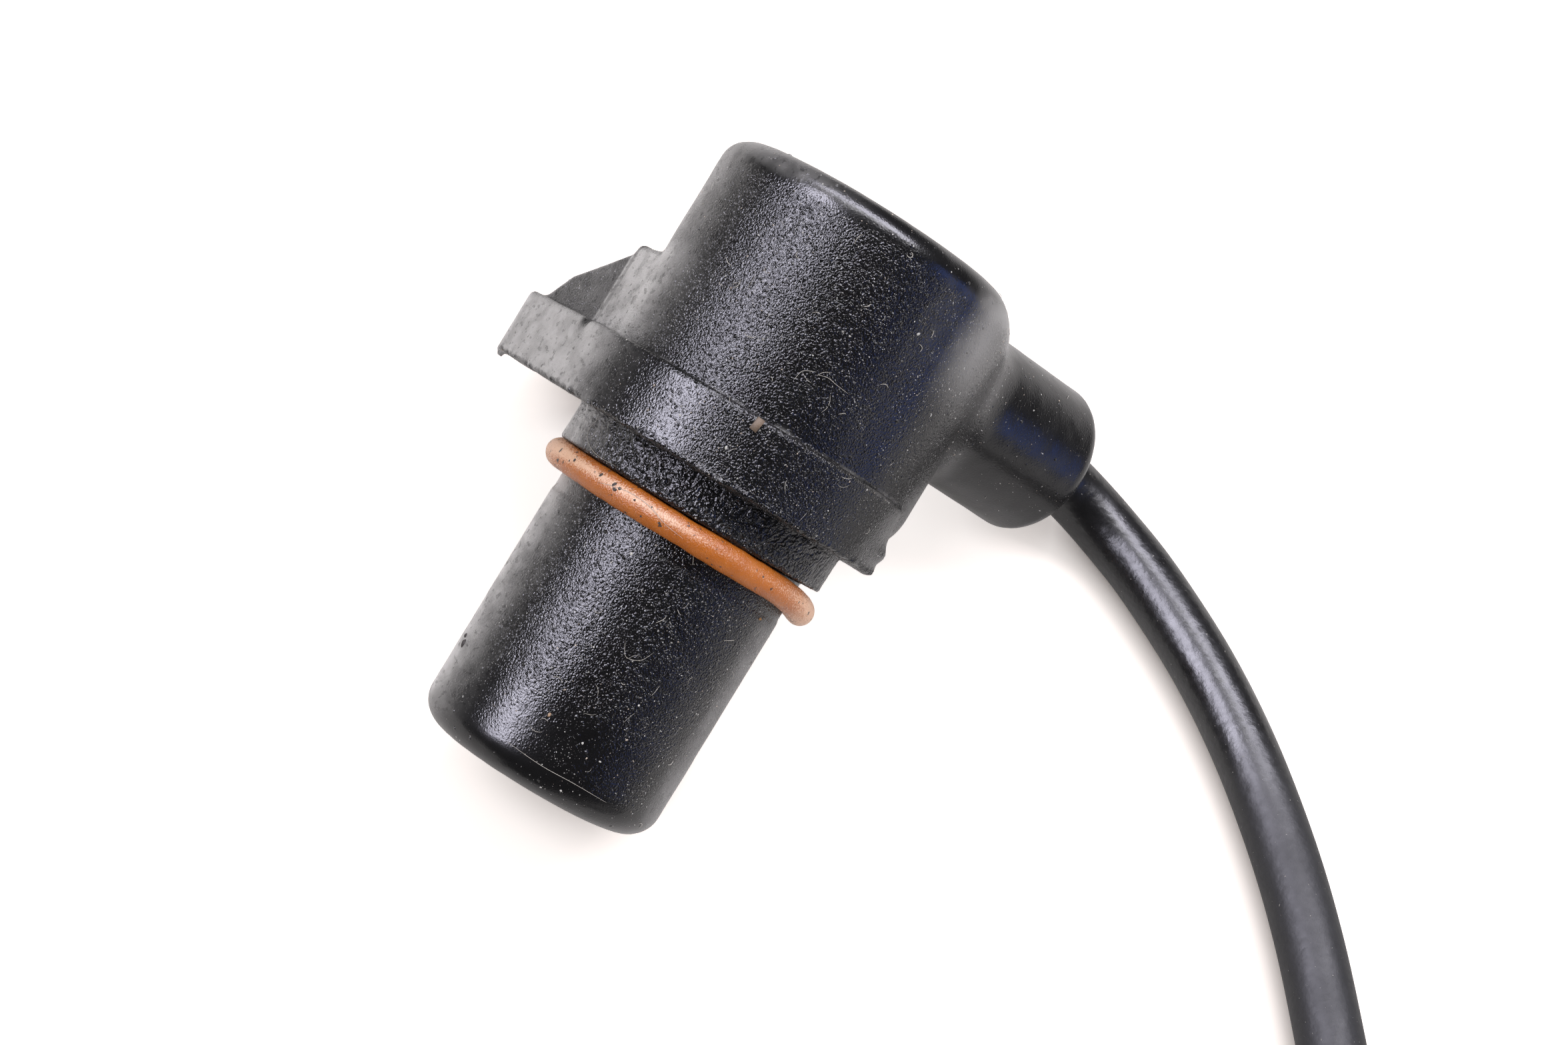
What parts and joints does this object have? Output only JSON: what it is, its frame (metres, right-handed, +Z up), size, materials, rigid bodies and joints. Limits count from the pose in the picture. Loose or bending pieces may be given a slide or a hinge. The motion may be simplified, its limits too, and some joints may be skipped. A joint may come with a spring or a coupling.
{
  "type": "crankshaft position sensor",
  "caption": "Moulded pick-up with a round barrel, seal ring, bolt ear and side outlet for a fixed cable that ends in a connector.",
  "frame": {"origin": "Middle of the sensor's box at the level of the table that it lies on, without the cable past the outlet.", "axes": "+Z up from the table. The barrel points along +X and slopes down to its tip. The cable outlet is on the +Y side and the bolt ear on the -Y side."},
  "size_m": [0.1096, 0.1053, 0.0359],
  "materials": {
    "housing_plastic": "black glass-filled plastic, fine texture, dusty",
    "bush_steel": "plated steel",
    "seal_rubber": "brown rubber with dirt",
    "core_iron": "plain soft iron",
    "magnet_grey": "dark sintered metal",
    "carrier_plastic": "natural plastic",
    "winding_copper": "enamelled copper wire",
    "contact_brass": "plain brass strip",
    "wire_red": "insulation",
    "wire_white": "insulation",
    "cable_jacket": "black satin jacket",
    "tie_plastic": "black nylon",
    "boot_rubber": "black rubber",
    "wire_seal_rubber": "red-brown rubber",
    "connector_plastic": "black plastic",
    "lock_plastic": "pale plastic"
  },
  "bodies": {
    "root": {"housing": "housing_plastic", "mounting_bush": "bush_steel", "o_ring": "seal_rubber", "pole_pin": "core_iron", "magnet": "magnet_grey", "coil_carrier": "carrier_plastic", "coil_winding": "winding_copper", "terminal_left": "contact_brass", "terminal_right": "contact_brass", "crimp_left": "bush_steel", "crimp_right": "bush_steel", "core_wire_left": "wire_red", "core_wire_right": "wire_white", "cable_clamp": "contact_brass", "cable_run": "cable_jacket", "cable_coil": "cable_jacket", "coil_tie": "tie_plastic", "cable_tail": "cable_jacket", "connector_boot": "boot_rubber", "wire_seal": "wire_seal_rubber", "connector_shell": "connector_plastic", "contact_pin_1": "contact_brass", "contact_pin_2": "contact_brass", "contact_pin_3": "contact_brass", "pin_lock": "lock_plastic"}
  },
  "joints": []
}
